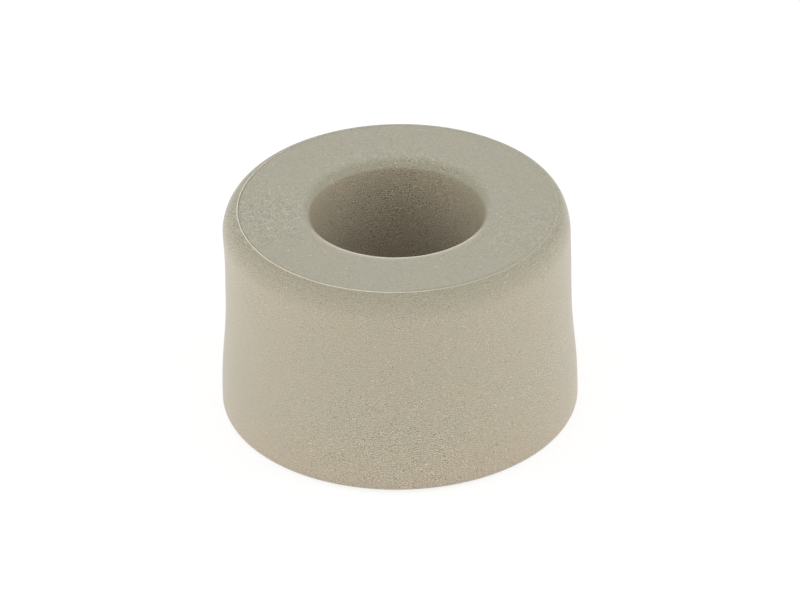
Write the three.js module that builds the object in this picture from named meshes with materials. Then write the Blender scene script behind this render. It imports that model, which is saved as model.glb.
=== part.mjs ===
// Screw-on door stop: a short round rubber buffer, moulded in one piece.
// Its side is upright above and flares a little into a wider base. A wide blind
// bore opens in the flat top face, and a screw hole runs from the bore's floor
// through the web to the base. Units are millimetres, +Z is up, and the origin
// is the centre of the base, which is fixed against a floor or a wall.

import * as THREE from "three";

// Overall form
const HEIGHT = 25; // from the base to the flat top face
const BASE_RADIUS = 20; // the widest part of the side
const BASE_EDGE_ROUND = 1; // rounding where the side meets the base

// Flare of the side
const FLARE_WIDTH = 0.6; // how far the base stands out past the upper side
const FLARE_HEIGHT = 14.7; // how far above the base the flare ends

// Shoulder, where the side rounds over into the top face
const SHOULDER_WIDTH = 1.45; // measured inwards from the side
const SHOULDER_DROP = 2.95; // measured downwards from the top face

// Fine raised line that the mould leaves round the top face
const RIM_LINE_RADIUS = 0.1; // of its half-round section

// Bore for the screw's head and washer
const BORE_RADIUS = 9.75;
const MOUTH_WIDTH = 1.6; // rounding of the mouth, measured outwards
const MOUTH_DROP = 0.9; // the same rounding, measured downwards
const WEB_THICKNESS = 7; // rubber under the bore, which the screw clamps
const FLOOR_CORNER_ROUND = 1; // inside corner between the bore's wall and its floor

// Hole through the web
const SCREW_HOLE_RADIUS = 3.25;

// Number of flat facets that stand for each round form
const TURN_FACETS = 96; // once round the axis
const EDGE_FACETS = 4; // base edge, and corner of the bore's floor
const FLARE_FACETS = 10;
const SHOULDER_FACETS = 8;
const RIM_LINE_FACETS = 4;
const MOUTH_FACETS = 8;

const RUBBER = { color: 0xb5ad99, roughness: 0.85, metalness: 0 };

// Directions in the section, which has the radius across and the height up
const OUTWARDS = 0;
const UPWARDS = Math.PI / 2;
const INWARDS = Math.PI;
const DOWNWARDS = -Math.PI / 2;

// The points of an elliptical arc about a centre, from one direction to another.
function arc(centre, width, height, from, to, facets) {
  const clockwise = to < from;
  const ellipse = new THREE.EllipseCurve(centre.x, centre.y, width, height, from, to, clockwise);
  return ellipse.getPoints(facets);
}

// Base edge: a quarter round from the base up into the side.
function baseEdge() {
  const centre = new THREE.Vector2(BASE_RADIUS - BASE_EDGE_ROUND, BASE_EDGE_ROUND);
  return arc(centre, BASE_EDGE_ROUND, BASE_EDGE_ROUND, DOWNWARDS, OUTWARDS, EDGE_FACETS);
}

// Flared side: an S-curve that starts and ends upright.
function flaredSide() {
  const sideRadius = BASE_RADIUS - FLARE_WIDTH;
  const middle = (BASE_EDGE_ROUND + FLARE_HEIGHT) / 2;
  const curve = new THREE.CubicBezierCurve(
    new THREE.Vector2(BASE_RADIUS, BASE_EDGE_ROUND),
    new THREE.Vector2(BASE_RADIUS, middle),
    new THREE.Vector2(sideRadius, middle),
    new THREE.Vector2(sideRadius, FLARE_HEIGHT),
  );
  return curve.getPoints(FLARE_FACETS);
}

// Shoulder: from the side over to the level of the top face.
function shoulder() {
  const centre = new THREE.Vector2(
    BASE_RADIUS - FLARE_WIDTH - SHOULDER_WIDTH,
    HEIGHT - SHOULDER_DROP,
  );
  return arc(centre, SHOULDER_WIDTH, SHOULDER_DROP, OUTWARDS, UPWARDS, SHOULDER_FACETS);
}

// Rim line: a small half round on the top face, just inside the shoulder.
function rimLine() {
  const shoulderEnd = BASE_RADIUS - FLARE_WIDTH - SHOULDER_WIDTH;
  const centre = new THREE.Vector2(shoulderEnd - RIM_LINE_RADIUS, HEIGHT);
  return arc(centre, RIM_LINE_RADIUS, RIM_LINE_RADIUS, OUTWARDS, INWARDS, RIM_LINE_FACETS);
}

// Mouth: from the top face over into the bore's wall.
function mouth() {
  const centre = new THREE.Vector2(BORE_RADIUS + MOUTH_WIDTH, HEIGHT - MOUTH_DROP);
  return arc(centre, MOUTH_WIDTH, MOUTH_DROP, UPWARDS, INWARDS, MOUTH_FACETS);
}

// Floor corner: a quarter round from the bore's wall into its floor.
function floorCorner() {
  const centre = new THREE.Vector2(
    BORE_RADIUS - FLOOR_CORNER_ROUND,
    WEB_THICKNESS + FLOOR_CORNER_ROUND,
  );
  return arc(
    centre, FLOOR_CORNER_ROUND, FLOOR_CORNER_ROUND, OUTWARDS, DOWNWARDS, EDGE_FACETS,
  );
}

// The whole section, closed on its first point. The straight stretches between
// these forms, such as the top face and the bore's wall, need no points of their own.
function section() {
  const points = [
    ...baseEdge(),
    ...flaredSide().slice(1), // it starts where the base edge ends
    ...shoulder(),
    ...rimLine().slice(1), // it starts where the shoulder ends
    ...mouth(),
    ...floorCorner(),
    new THREE.Vector2(SCREW_HOLE_RADIUS, WEB_THICKNESS),
    new THREE.Vector2(SCREW_HOLE_RADIUS, 0),
  ];
  return [...points, points[0].clone()];
}

function rubberBuffer() {
  const geometry = new THREE.LatheGeometry(section(), TURN_FACETS);
  geometry.rotateX(Math.PI / 2); // a lathe's axis is Y, and the buffer's is Z
  const mesh = new THREE.Mesh(geometry, new THREE.MeshStandardMaterial(RUBBER));
  mesh.name = "rubber_buffer";
  return mesh;
}

const doorStop = new THREE.Group();
doorStop.add(rubberBuffer());

export default doorStop;
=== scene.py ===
import math

import bpy
from mathutils import Matrix, Vector, noise


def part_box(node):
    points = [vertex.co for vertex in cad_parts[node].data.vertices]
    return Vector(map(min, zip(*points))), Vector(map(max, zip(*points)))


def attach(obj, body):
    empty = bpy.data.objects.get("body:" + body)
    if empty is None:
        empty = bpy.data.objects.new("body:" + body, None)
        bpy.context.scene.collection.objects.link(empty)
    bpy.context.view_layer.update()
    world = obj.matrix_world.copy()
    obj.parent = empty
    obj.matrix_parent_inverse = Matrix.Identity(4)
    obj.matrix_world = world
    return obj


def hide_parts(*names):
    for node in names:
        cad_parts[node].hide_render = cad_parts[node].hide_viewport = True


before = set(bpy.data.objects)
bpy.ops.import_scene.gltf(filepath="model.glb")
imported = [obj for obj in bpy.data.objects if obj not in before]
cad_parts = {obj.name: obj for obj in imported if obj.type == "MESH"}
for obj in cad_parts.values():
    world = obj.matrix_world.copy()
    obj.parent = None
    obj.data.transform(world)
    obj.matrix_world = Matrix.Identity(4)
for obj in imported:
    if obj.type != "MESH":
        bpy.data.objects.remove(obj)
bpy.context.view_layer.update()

# A screw-on door stop: a short rubber buffer, made by turning its section round the Z
# axis. The front is towards -Y.
MM = 0.001
NODE = "rubber_buffer"

# Section of the buffer, in millimetres. The overall sizes come from the frame.
high_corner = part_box(NODE)[1]
RIM_LINE_HEIGHT = 0.1
HEIGHT = high_corner.z / MM - RIM_LINE_HEIGHT
BASE_RADIUS = high_corner.x / MM
BASE_EDGE_ROUND = 1
FLARE_WIDTH = 0.6
FLARE_HEIGHT = 14.7
SHOULDER_WIDTH = 1.45
SHOULDER_DROP = 2.95
BORE_RADIUS = 9.75
MOUTH_WIDTH = 1.6
MOUTH_DROP = 0.9
WEB_THICKNESS = 7
FLOOR_CORNER_ROUND = 1
SCREW_HOLE_RADIUS = 3.25

# Fine forms that only this model has: a narrower rim line with a shallow groove along
# its inside, a raised line on the lip of the bore, and a shoulder that isn't quite round
RIM_LINE_WIDTH = 0.11
GROOVE_WIDTH = 0.14
GROOVE_DEPTH = 0.06
LIP_LINE_HEIGHT = 0.09
LIP_LINE_START = 128  # degrees along the mouth's arc, which goes from 90 to 180
LIP_LINE_END = 136
FULLNESS_START = 18  # mm above the base

SIDE_RADIUS = BASE_RADIUS - FLARE_WIDTH
RIM_RADIUS = SIDE_RADIUS - SHOULDER_WIDTH  # outer edge of the rim line
GROOVE_RADIUS = RIM_RADIUS - RIM_LINE_WIDTH  # outer edge of the groove
TOP_RADIUS = GROOVE_RADIUS - GROOVE_WIDTH  # outer edge of the flat top face
MOUTH_RADIUS = BORE_RADIUS + MOUTH_WIDTH  # inner edge of the flat top face

# Number of faces along each stretch of the section, and once round the axis
TURN_FACES = 360
BASE_FACES = 12
EDGE_FACES = 10
FLARE_FACES = 34
SIDE_FACES = 16
SHOULDER_FACES = 22
RIM_LINE_FACES = 8
GROOVE_FACES = 6
TOP_FACES = 20
MOUTH_FACES = 10  # on either side of the lip line
LIP_LINE_FACES = 12
WALL_FACES = 26
BORE_FLOOR_FACES = 8
HOLE_FACES = 6
SHARP_ANGLE = math.radians(40)

# How the fine forms vary round the axis, as (azimuth from the front in degrees, level).
# A level is a share of a line's full strength, or how far the shoulder stands out in mm.
# The rim line's and the lip line's strength also sets their painted highlight.
RIM_LINE = (
    (-180, 0.1), (-140, 0.15), (-125, 0.45), (-110, 0.85), (-95, 0.92), (-65, 0.9), (-10, 0.88),
    (0, 0.82), (15, 0.6), (30, 0.42), (45, 0.2), (90, 0.15), (105, 0.1), (180, 0.1),
)
GROOVE = (
    (-180, 0.4), (-130, 0.6), (-110, 1), (-40, 1), (-20, 0.6), (10, 0.2), (180, 0.4),
)
LIP_LINE = (
    (-180, 0), (-72, 0), (-55, 0.5), (-38, 0.9), (0, 1), (35, 0.85), (50, 0.75), (62, 0.35),
    (75, 0), (180, 0),
)
FULLNESS = (
    (-180, -0.02), (-130, 0.05), (-90, 0.2), (-40, 0), (70, 0), (140, -0.2), (180, -0.02),
)

# Slight ripple in the strength of a line. The seeds keep the lines from rippling alike.
LINE_RIPPLE = 0.12
LINE_RIPPLES = 9  # ripples for each unit of the noise's circle
RIM_LINE_SEED = -140
GROOVE_SEED = -130
LIP_LINE_SEED = -72

# Masks of the mesh that the rubber's material reads
MASKS = ("top_colour_and_shade", "smooth_finish", "bore_painted_light", "painted_highlight_line")

# Share of the top face's colour, and of the paler colour deep in the bore, at the start and the
# end of a stretch of the section. The other stretches have none. The top face's colour is partly
# its own darker tone and partly painted shade; on the shoulder and the lower mouth it is painted
# shade alone. The bore's paler colour is painted light.
# Painted shade on the shoulder: how much of the top face's colour it takes as it turns upward
SHOULDER_SHADE_BLEND = 0.8
TOP_AND_SHADE_SHARE = {
    "shoulder": (0, SHOULDER_SHADE_BLEND), "rim_line": (1, 1), "groove": (1, 1), "top": (1, 1),
    "upper_mouth": (1, 1), "lip_line": (1, 1), "lower_mouth": (1, 0),
}
BORE_PAINTED_LIGHT_SHARE = {"wall": (0, 1), "corner": (1, 1), "bore_floor": (1, 1)}

# Colours, linear
SIDE_COLOUR = (0.395, 0.351, 0.257, 1)
# Darker top face: partly its own tone, partly painted shade; painted shade alone where it
# spreads onto the shoulder and into the mouth
TOP_AND_SHADE_COLOUR = (0.292, 0.271, 0.193, 1)
BORE_PAINTED_LIGHT_COLOUR = (0.432, 0.393, 0.328, 1)  # painted light deep in the bore, paler than the side
PALE_SPECK_AND_HIGHLIGHT_COLOUR = (0.85, 0.79, 0.64, 1)  # pale specks, and the painted highlight on the rim line and the lip line
DARK_COLOUR = (0, 0, 0, 1)  # dark specks
WARM_TINT = (1.012, 0.997, 0.99, 1)
COOL_TINT = (0.988, 1.003, 1.005, 1)
BASE_BOUNCE_TINT = (1.06, 1.02, 1.01, 1)  # painted warm bounce light near the base
BASE_BOUNCE_HEIGHT = 7  # mm, where it has faded out

# Finish of the rubber. The mottle is broad patches of tint and roughness.
SPECULAR_LEVEL = 0.75
SIDE_ROUGHNESS = 0.37
TOP_ROUGHNESS = 0.3
ROUGHNESS_CHANGE = 0.02  # up or down
MOTTLE_SCALE = 0.25  # patches for each millimetre
TINT_RANGE = (0.35, 0.65)  # of the mottle's noise, from warm to cool
NOISE_RANGE = (0.3, 0.7)  # where most of a noise lies

# Grain of the rubber: ripples in its colour, and pimples in its bump
GRAIN_SCALE = 3.85  # ripples for each millimetre
RIPPLE_RUN = 1.4  # how many ripples run side by side
RIPPLE_RANGE = (0.25, 0.75)  # of the noise that they are made from
GRAIN_STRETCH = 1.3  # how much finer it is up the side and the bore than round them
GRAIN_CONTRAST = 0.55  # of the colour, where the grain is plain
PIMPLE_SCALE = 5  # pimples for each millimetre
PIMPLE_REACH = 0.9  # where one has run out, as a share of the distance between them
PIMPLE_HEIGHT = 0.006  # mm

# How strong the grain is: on the top face as a share of the side's, and how much it
# varies up or down in small patches
TOP_GRAIN = 0.5
UNEVEN_CHANGE = 0.4
UNEVEN_SCALE = 0.8  # patches for each millimetre

# Where the grain is stronger or weaker: centre and radius in mm, and what is added
GRAIN_PATCHES = (
    ((-14.8, -1, HEIGHT), 8, 1.0),
    ((14.5, -5.5, HEIGHT), 8, 0.45),
    ((0, -20, 2), 14.5, 0.85),
    ((-19, -8, 8), 14, -0.4),
    ((19, -8, 8), 14, 0.3),
    ((0, 6, 19), 11, 1.5),
)
PATCH_CORE = 0.3  # share of a patch's radius within which it has its full effect

# Scattered specks: how many for each millimetre, their radius as a share of the
# distance between them, and the strength of their colour
DARK_SPECKS = (0.45, 0.06, 0.4)
PALE_SPECKS = (0.7, 0.08, 0.4)
TINY_SPECKS = (1.5, 0.14, 0.12)  # pale too, and stronger where the grain is

# Floor of white paper. The camera sees it as a glow and a share that takes shadows.
PAPER_RADIUS = 1000  # mm
OPENING_RADIUS = 18.5  # mm, under the base
DISC_RADIUS = 3.6  # mm, under the screw hole
PAPER_DROP = 0.02  # mm, how far it is below the base
PAPER_FACES = 96  # once round
PAPER_COLOUR = (0.9, 0.9, 0.9, 1)
PAPER_SHADOW_COLOUR = (0.25, 0.25, 0.25, 1)
PAPER_GLOW = 0.8

# Light: a studio that is brighter at the horizon than overhead, and four softboxes.
# A lamp's level is the light that it adds to a face turned squarely to it, as a share
# of what a white world gives. Only a mirrored lamp shows in the rubber's gloss.
# Angles are in degrees, azimuth from the front. The distance and size are in metres.
ZENITH_LEVEL = 0.29
HORIZON_LEVEL = 1.95
HORIZON_FALLOFF = 2.0  # the power by which the light falls off with height
LAMPS = {
    "front_softbox": {"azimuth": 0, "level": 0.09, "mirrored": False},
    "right_softbox": {"azimuth": 90, "level": 0.33, "mirrored": False},
    "back_softbox": {"azimuth": 180, "level": 0.065, "mirrored": True},
    "left_softbox": {"azimuth": -90, "level": 0.335, "mirrored": False},
}
LAMP_ELEVATION = math.radians(40)
LAMP_DISTANCE = 0.4
LAMP_SIZE = (0.3, 0.2)

# Camera, as the photograph was taken: a long lens, looking down at the buffer.
# Distances are in mm.
PHOTO_WIDTH = 800  # pixels
PIXELS_PER_MM = 8.911  # at the target
CAMERA_DISTANCE = 1500
CAMERA_ELEVATION = math.radians(31.895)
CAMERA_ROLL = math.radians(0.936)
CAMERA_TARGET = Vector((0, 0, 12))
FRAME_OFFSET = (-0.133, -0.768)  # of the target from the picture's centre
SENSOR_WIDTH = 36
CLIP_END = 100  # metres


# The section

def straight(start, end, faces):
    """Points of a straight stretch of the section, with both ends."""
    return [
        (start[0] + (end[0] - start[0]) * i / faces, start[1] + (end[1] - start[1]) * i / faces)
        for i in range(faces + 1)
    ]


def arc(centre, width, height, start, end, faces):
    """Points of an elliptical arc, from one angle in degrees to another."""
    angles = [math.radians(start + (end - start) * i / faces) for i in range(faces + 1)]
    return [
        (centre[0] + width * math.cos(a), centre[1] + height * math.sin(a)) for a in angles
    ]


def flare():
    """Points of the S-curve up the side, upright at both ends."""
    middle = (BASE_EDGE_ROUND + FLARE_HEIGHT) / 2
    points = []
    for i in range(FLARE_FACES + 1):
        t = i / FLARE_FACES
        inward = 3 * t**2 * (1 - t) + t**3
        lift = 3 * t * (1 - t) * middle
        points.append((
            BASE_RADIUS - FLARE_WIDTH * inward,
            BASE_EDGE_ROUND * (1 - t)**3 + lift + FLARE_HEIGHT * t**3,
        ))
    return points


def ridge(start, end, rise, faces):
    """Points of a half round from one point to another, which rises to its outer side."""
    middle = (Vector(start) + Vector(end)) / 2
    half = Vector(end) - middle
    outward = Vector((half.y, -half.x)).normalized() * rise
    angles = [math.pi * i / faces for i in range(faces + 1)]
    return [tuple(middle - half * math.cos(a) + outward * math.sin(a)) for a in angles]


def section(rim_line, groove, lip_line):
    """The closed section as stretches of (radius, height), each with a name. The three
    numbers say how far the fine lines stand up or lie in, from 0 to 1."""
    edge = BASE_RADIUS - BASE_EDGE_ROUND
    shoulder_start = HEIGHT - SHOULDER_DROP
    mouth_end = HEIGHT - MOUTH_DROP
    corner = BORE_RADIUS - FLOOR_CORNER_ROUND
    wall_end = WEB_THICKNESS + FLOOR_CORNER_ROUND
    mouth = ((MOUTH_RADIUS, mouth_end), MOUTH_WIDTH, MOUTH_DROP)
    upper_mouth = arc(*mouth, 90, LIP_LINE_START, MOUTH_FACES)
    lower_mouth = arc(*mouth, LIP_LINE_END, 180, MOUTH_FACES)
    return {
        "base": straight((SCREW_HOLE_RADIUS, 0), (edge, 0), BASE_FACES),
        "edge": arc(
            (edge, BASE_EDGE_ROUND), BASE_EDGE_ROUND, BASE_EDGE_ROUND, -90, 0, EDGE_FACES),
        "flare": flare(),
        "side": straight((SIDE_RADIUS, FLARE_HEIGHT), (SIDE_RADIUS, shoulder_start), SIDE_FACES),
        "shoulder": arc(
            (RIM_RADIUS, shoulder_start), SHOULDER_WIDTH, SHOULDER_DROP, 0, 90, SHOULDER_FACES),
        "rim_line": ridge(
            (RIM_RADIUS, HEIGHT), (GROOVE_RADIUS, HEIGHT), RIM_LINE_HEIGHT * rim_line,
            RIM_LINE_FACES),
        "groove": ridge(
            (GROOVE_RADIUS, HEIGHT), (TOP_RADIUS, HEIGHT), -GROOVE_DEPTH * groove, GROOVE_FACES),
        "top": straight((TOP_RADIUS, HEIGHT), (MOUTH_RADIUS, HEIGHT), TOP_FACES),
        "upper_mouth": upper_mouth,
        "lip_line": ridge(
            upper_mouth[-1], lower_mouth[0], LIP_LINE_HEIGHT * lip_line, LIP_LINE_FACES),
        "lower_mouth": lower_mouth,
        "wall": straight((BORE_RADIUS, mouth_end), (BORE_RADIUS, wall_end), WALL_FACES),
        "corner": arc(
            (corner, wall_end), FLOOR_CORNER_ROUND, FLOOR_CORNER_ROUND, 0, -90, EDGE_FACES),
        "bore_floor": straight(
            (corner, WEB_THICKNESS), (SCREW_HOLE_RADIUS, WEB_THICKNESS), BORE_FLOOR_FACES),
        "hole": straight((SCREW_HOLE_RADIUS, WEB_THICKNESS), (SCREW_HOLE_RADIUS, 0), HOLE_FACES),
    }


# The rubber's mesh

def level_at(levels, angle):
    """A level at an angle round the axis, between those that its table gives."""
    azimuth = (math.degrees(angle) + 90 + 180) % 360 - 180
    for (start, low), (end, high) in zip(levels, levels[1:]):
        if start <= azimuth <= end:
            return low + (high - low) * (azimuth - start) / (end - start)


def line_strength(levels, seed, angle):
    """How strong a fine line is at an angle round the axis, with a slight ripple."""
    around = Vector((math.cos(angle), math.sin(angle), seed)) * LINE_RIPPLES
    return level_at(levels, angle) * (1 - LINE_RIPPLE + LINE_RIPPLE * noise.noise(around))


def fullness(radius, height, angle):
    """How far the shoulder stands out past a true round, in mm."""
    if height <= FULLNESS_START or radius < RIM_RADIUS:
        return 0
    share = min(1, (height - FULLNESS_START) / (HEIGHT - FULLNESS_START))
    return level_at(FULLNESS, angle) * math.sin(math.pi * share**2)


def mask_values(stretch, share, rim_line, lip_line):
    """The values of the four masks at a share of the way along a stretch."""
    # Share of the top face's colour, which is painted shade on the shoulder and the lower mouth
    top_start, top_end = TOP_AND_SHADE_SHARE.get(stretch, (0, 0))
    if stretch == "lower_mouth":  # its painted shade changes most where it meets the wall
        top = top_start + (top_end - top_start) * share**3
    else:  # the shoulder's painted shade changes most where it leaves the side
        top = top_end + (top_start - top_end) * (1 - share)**2
    smooth = 0 if stretch in ("shoulder", "rim_line") else top

    # Painted light, growing paler towards the bore's floor
    bore_start, bore_end = BORE_PAINTED_LIGHT_SHARE.get(stretch, (0, 0))
    bore = bore_start + (bore_end - bore_start) * share

    # Painted highlight along the rim line and the lip line, as strong as the line
    pale = 0
    if stretch == "rim_line" and share > 0:
        pale = rim_line
    elif stretch == "lip_line" and share > 0:
        pale = lip_line
    elif stretch == "upper_mouth":  # painted highlight, growing towards the lip line
        pale = lip_line * share**4
    return top, smooth, bore, pale


def section_points(angle):
    """The section's points at an angle round the axis, as (radius, height), and their
    values of the masks."""
    rim_line = line_strength(RIM_LINE, RIM_LINE_SEED, angle)
    groove = line_strength(GROOVE, GROOVE_SEED, angle)
    lip_line = line_strength(LIP_LINE, LIP_LINE_SEED, angle)
    points = []
    masks = []
    for stretch, line in section(rim_line, groove, lip_line).items():
        faces = len(line) - 1
        for i in range(faces):  # its last point is the next stretch's first
            radius, height = line[i]
            points.append((radius + fullness(radius, height, angle), height))
            masks.append(mask_values(stretch, i / faces, rim_line, lip_line))
    return points, masks


def turned_mesh(name):
    """The section turned round the Z axis, in metres, with the masks as attributes."""
    vertices = []
    values = []
    for turn in range(TURN_FACES):
        angle = 2 * math.pi * turn / TURN_FACES
        points, masks = section_points(angle)
        for radius, height in points:
            vertices.append((
                radius * math.cos(angle) * MM, radius * math.sin(angle) * MM, height * MM,
            ))
        values += masks
    count = len(points)
    faces = []
    for turn in range(TURN_FACES):
        here = turn * count
        there = (turn + 1) % TURN_FACES * count
        for i in range(count):
            j = (i + 1) % count
            faces.append((here + i, there + i, there + j, here + j))
    mesh = bpy.data.meshes.new(name)
    mesh.from_pydata(vertices, [], faces)
    for mask, column in zip(MASKS, zip(*values)):
        mesh.attributes.new(mask, "FLOAT", "POINT").data.foreach_set("value", column)
    mesh.shade_smooth()
    mesh.set_sharp_from_angle(angle=SHARP_ANGLE)
    return mesh


# The rubber's material

class Graph:
    """The node tree of a material or the world."""

    def __init__(self, owner):
        owner.use_nodes = True
        self.nodes = owner.node_tree.nodes
        self.links = owner.node_tree.links

    def feed(self, socket, value):
        """Link an output to a socket, or set the socket to a value."""
        if isinstance(value, bpy.types.NodeSocket):
            self.links.new(value, socket)
        else:
            socket.default_value = value

    def add(self, kind, inputs, output=0, **settings):
        """A new node's output. The inputs are outputs of other nodes, or values."""
        node = self.nodes.new(kind)
        for setting, value in settings.items():
            setattr(node, setting, value)
        for socket, value in inputs.items():
            self.feed(node.inputs[socket], value)
        return node.outputs[output]

    def mask(self, name):
        return self.add("ShaderNodeAttribute", {}, "Fac", attribute_name=name)

    def upward(self, vector):
        """The Z part of a vector."""
        return self.add("ShaderNodeSeparateXYZ", {0: vector}, "Z")

    def noise(self, place, scale):
        """Soft noise from 0 to 1, with so many patches for each millimetre."""
        inputs = {"Vector": place, "Scale": scale / MM, "Detail": 1}
        return self.add("ShaderNodeTexNoise", inputs, "Fac")

    def ripples(self, place, scale):
        """Short ripples of one width in all directions, so many for each millimetre,
        from -0.5 to 0.5 high."""
        inputs = {"Vector": place, "Scale": scale / RIPPLE_RUN / MM, "Frequency": RIPPLE_RUN,
                  "Anisotropy": 0.0}
        value = self.add("ShaderNodeTexGabor", inputs, "Value", gabor_type="3D")
        return self.mapped(value, *RIPPLE_RANGE, -0.5, 0.5)

    def cells(self, place, scale):
        """How far away the nearest of many scattered points is, so many of them for each
        millimetre. The distance is a share of the mean distance between them."""
        inputs = {"Vector": place, "Scale": scale / MM}
        return self.add("ShaderNodeTexVoronoi", inputs, "Distance")

    def specks(self, place, scale, radius, level):
        """Scattered specks, round and soft at the edge, of one level."""
        specks = self.mapped(self.cells(place, scale), radius / 2, radius, 1, 0)
        return self.maths("MULTIPLY", specks, level)

    def mapped(self, value, low, high, to_low=0, to_high=1):
        """A value moved from one range to another, and kept within it."""
        inputs = {"Value": value, "From Min": low, "From Max": high,
                  "To Min": to_low, "To Max": to_high}
        return self.add("ShaderNodeMapRange", inputs, "Result")

    def maths(self, operation, *numbers):
        return self.add("ShaderNodeMath", dict(enumerate(numbers)), operation=operation)

    def mixed(self, factor, first, second, blend="MIX"):
        inputs = {0: factor, 6: first, 7: second}
        return self.add("ShaderNodeMix", inputs, 2, data_type="RGBA", blend_type=blend)


def grain_strength(graph, place):
    """How strong the grain is: 1 on the plain side, less on the top, uneven in patches."""
    level = graph.mapped(graph.mask("smooth_finish"), 0, 1, 1, TOP_GRAIN)
    for centre, radius, more in GRAIN_PATCHES:
        away = graph.add("ShaderNodeVectorMath", {0: place, 1: Vector(centre) * MM}, "Value",
                         operation="DISTANCE")
        near = graph.mapped(away, radius * PATCH_CORE * MM, radius * MM, more, 0)
        level = graph.maths("ADD", level, near)
    uneven = graph.mapped(
        graph.noise(place, UNEVEN_SCALE), *NOISE_RANGE, 1 - UNEVEN_CHANGE, 1 + UNEVEN_CHANGE)
    return graph.maths("MULTIPLY", level, uneven)


def plain_colour(graph, place, mottle):
    """The rubber's colour without its grain: by place on the buffer, with a darker top face that
    is partly painted shade, painted shade on the shoulder and the mouth, painted light deep in
    the bore and painted warm bounce light near the base, and tinted.
    """
    # The top face's colour: partly its own tone, partly painted shade, and painted shade alone
    # on the shoulder and the mouth
    colour = graph.mixed(graph.mask("top_colour_and_shade"), SIDE_COLOUR, TOP_AND_SHADE_COLOUR)
    # Painted light: paler deep in the bore
    colour = graph.mixed(graph.mask("bore_painted_light"), colour, BORE_PAINTED_LIGHT_COLOUR)
    tint = graph.mixed(graph.mapped(mottle, *TINT_RANGE), WARM_TINT, COOL_TINT)
    colour = graph.mixed(1.0, colour, tint, "MULTIPLY")
    # Painted warm bounce light, fading out with height above the base
    low = graph.mapped(graph.upward(place), 0, BASE_BOUNCE_HEIGHT * MM, 1, 0)
    return graph.mixed(low, colour, BASE_BOUNCE_TINT, "MULTIPLY")


def grained_colour(graph, place, colour, strong):
    """The colour with its grain, specks, and the painted highlight of the pale lines."""
    drawn_out = graph.add("ShaderNodeMapping", {"Vector": place, "Scale": (1, 1, GRAIN_STRETCH)})
    grain = graph.ripples(drawn_out, GRAIN_SCALE)
    contrast = graph.maths("MULTIPLY", strong, GRAIN_CONTRAST)
    shade = graph.maths("MULTIPLY_ADD", grain, contrast, 1.0)
    colour = graph.mixed(1.0, colour, shade, "MULTIPLY")
    colour = graph.mixed(graph.specks(place, *DARK_SPECKS), colour, DARK_COLOUR)
    tiny = graph.maths("MULTIPLY", graph.specks(place, *TINY_SPECKS), strong)
    pale = graph.maths("MAXIMUM", graph.specks(place, *PALE_SPECKS), tiny)
    # Painted highlight along the rim line and the lip line
    pale = graph.maths("MAXIMUM", pale, graph.mask("painted_highlight_line"))
    return graph.mixed(pale, colour, PALE_SPECK_AND_HIGHLIGHT_COLOUR)


def rubber_material():
    material = bpy.data.materials.new("grained_rubber")
    graph = Graph(material)
    shader = graph.nodes["Principled BSDF"]
    place = graph.add("ShaderNodeTexCoord", {}, "Object")
    mottle = graph.noise(place, MOTTLE_SCALE)
    strong = grain_strength(graph, place)

    colour = plain_colour(graph, place, mottle)
    colour = grained_colour(graph, place, colour, strong)
    graph.feed(shader.inputs["Base Color"], colour)

    roughness = graph.mapped(graph.mask("smooth_finish"), 0, 1, SIDE_ROUGHNESS, TOP_ROUGHNESS)
    uneven = graph.mapped(mottle, *NOISE_RANGE, -ROUGHNESS_CHANGE, ROUGHNESS_CHANGE)
    graph.feed(shader.inputs["Roughness"], graph.maths("ADD", roughness, uneven))
    shader.inputs["Specular IOR Level"].default_value = SPECULAR_LEVEL

    pimples = graph.mapped(graph.cells(place, PIMPLE_SCALE), 0, PIMPLE_REACH, 1, 0)
    bump = {"Height": pimples, "Strength": strong, "Distance": PIMPLE_HEIGHT * MM}
    graph.feed(shader.inputs["Normal"], graph.add("ShaderNodeBump", bump))
    return material


def make_buffer():
    mesh = turned_mesh("moulded_rubber")
    buffer = bpy.data.objects.new("moulded_rubber", mesh)
    bpy.context.scene.collection.objects.link(buffer)
    mesh.materials.append(rubber_material())
    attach(buffer, "root")
    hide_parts(NODE)


# The floor, the light and the camera

def looked_at(graph):
    """1 where the camera sees a thing, directly, in a reflection or through glass."""
    path = graph.nodes.new("ShaderNodeLightPath")
    seen = path.outputs["Is Camera Ray"]
    for ray in ("Is Glossy Ray", "Is Transmission Ray"):
        seen = graph.maths("MAXIMUM", seen, path.outputs[ray])
    return seen


def paper_material():
    """White paper, which looks white to the camera and keeps the buffer's shadow."""
    material = bpy.data.materials.new("white_paper")
    graph = Graph(material)
    graph.nodes.clear()
    plain = graph.add("ShaderNodeBsdfDiffuse", {"Color": PAPER_COLOUR})
    shadow = graph.add("ShaderNodeBsdfDiffuse", {"Color": PAPER_SHADOW_COLOUR})
    glow = graph.add("ShaderNodeEmission", {"Strength": PAPER_GLOW})
    seen = graph.add("ShaderNodeAddShader", {0: shadow, 1: glow})
    surface = graph.add("ShaderNodeMixShader", {0: looked_at(graph), 1: plain, 2: seen})
    output = graph.nodes.new("ShaderNodeOutputMaterial")
    graph.feed(output.inputs["Surface"], surface)
    return material


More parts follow.
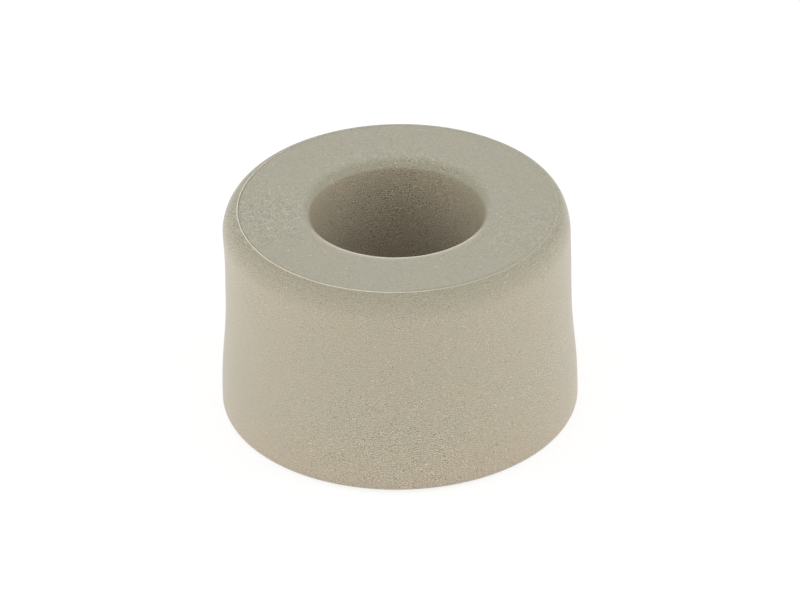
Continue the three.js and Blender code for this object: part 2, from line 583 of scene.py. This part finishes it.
def make_floor():
    """A round sheet with an opening that the base covers, so that the underside can be
    seen from below. A disc lies under the screw hole."""
    vertices = []
    for radius in (PAPER_RADIUS, OPENING_RADIUS, DISC_RADIUS):
        for turn in range(PAPER_FACES):
            angle = 2 * math.pi * turn / PAPER_FACES
            vertices.append((
                radius * math.cos(angle) * MM, radius * math.sin(angle) * MM, -PAPER_DROP * MM,
            ))
    disc = tuple(range(2 * PAPER_FACES, 3 * PAPER_FACES))
    faces = [disc]
    for here in range(PAPER_FACES):
        there = (here + 1) % PAPER_FACES
        faces.append((here, there, PAPER_FACES + there, PAPER_FACES + here))
    mesh = bpy.data.meshes.new("floor")
    mesh.from_pydata(vertices, [], faces)
    mesh.materials.append(paper_material())
    floor = bpy.data.objects.new("floor", mesh)
    bpy.context.scene.collection.objects.link(floor)


def make_lamps():
    for name, lamp in LAMPS.items():
        azimuth = math.radians(lamp["azimuth"])
        across = math.cos(LAMP_ELEVATION)
        towards = Vector((
            math.sin(azimuth) * across, -math.cos(azimuth) * across, math.sin(LAMP_ELEVATION),
        ))
        light = bpy.data.lights.new(name, "AREA")
        light.shape = "RECTANGLE"
        light.size, light.size_y = LAMP_SIZE
        light.energy = lamp["level"] * (math.pi * LAMP_DISTANCE)**2
        holder = bpy.data.objects.new(name, light)
        holder.visible_glossy = lamp["mirrored"]
        holder.location = CAMERA_TARGET * MM + towards * LAMP_DISTANCE
        holder.rotation_euler = towards.to_track_quat("Z", "Y").to_euler()
        bpy.context.scene.collection.objects.link(holder)


def make_world():
    """White to the camera. Its light is strongest from the horizon."""
    world = bpy.data.worlds.new("studio")
    bpy.context.scene.world = world
    graph = Graph(world)
    direction = graph.add("ShaderNodeTexCoord", {}, "Generated")
    height = graph.maths("ABSOLUTE", graph.upward(direction))  # the same below the floor
    low = graph.maths("POWER", graph.mapped(height, 0, 1, 1, 0), HORIZON_FALLOFF)
    light = graph.mapped(low, 0, 1, ZENITH_LEVEL, HORIZON_LEVEL)
    strength = graph.add("ShaderNodeMix", {0: looked_at(graph), 2: light, 3: 1.0})
    background = graph.nodes["Background"]
    background.inputs["Color"].default_value = (1, 1, 1, 1)
    graph.feed(background.inputs["Strength"], strength)


def make_camera():
    sine, cosine = math.sin(CAMERA_ELEVATION), math.cos(CAMERA_ELEVATION)
    across = Vector((1, 0, 0))
    upright = Vector((0, sine, cosine))
    forward = Vector((0, cosine, -sine))
    right = across * math.cos(CAMERA_ROLL) - upright * math.sin(CAMERA_ROLL)
    up = across * math.sin(CAMERA_ROLL) + upright * math.cos(CAMERA_ROLL)
    place = CAMERA_TARGET - forward * CAMERA_DISTANCE
    place -= right * FRAME_OFFSET[0] + up * FRAME_OFFSET[1]
    lens = bpy.data.cameras.new("camera")
    lens.sensor_width = SENSOR_WIDTH
    lens.lens = SENSOR_WIDTH * PIXELS_PER_MM * CAMERA_DISTANCE / PHOTO_WIDTH
    lens.clip_end = CLIP_END
    camera = bpy.data.objects.new("camera", lens)
    turn = Matrix((right, up, -forward)).transposed().to_4x4()
    camera.matrix_world = Matrix.Translation(place * MM) @ turn
    bpy.context.scene.collection.objects.link(camera)
    bpy.context.scene.camera = camera


bpy.context.scene.view_settings.view_transform = "Standard"
make_buffer()
make_floor()
make_world()
make_lamps()
make_camera()
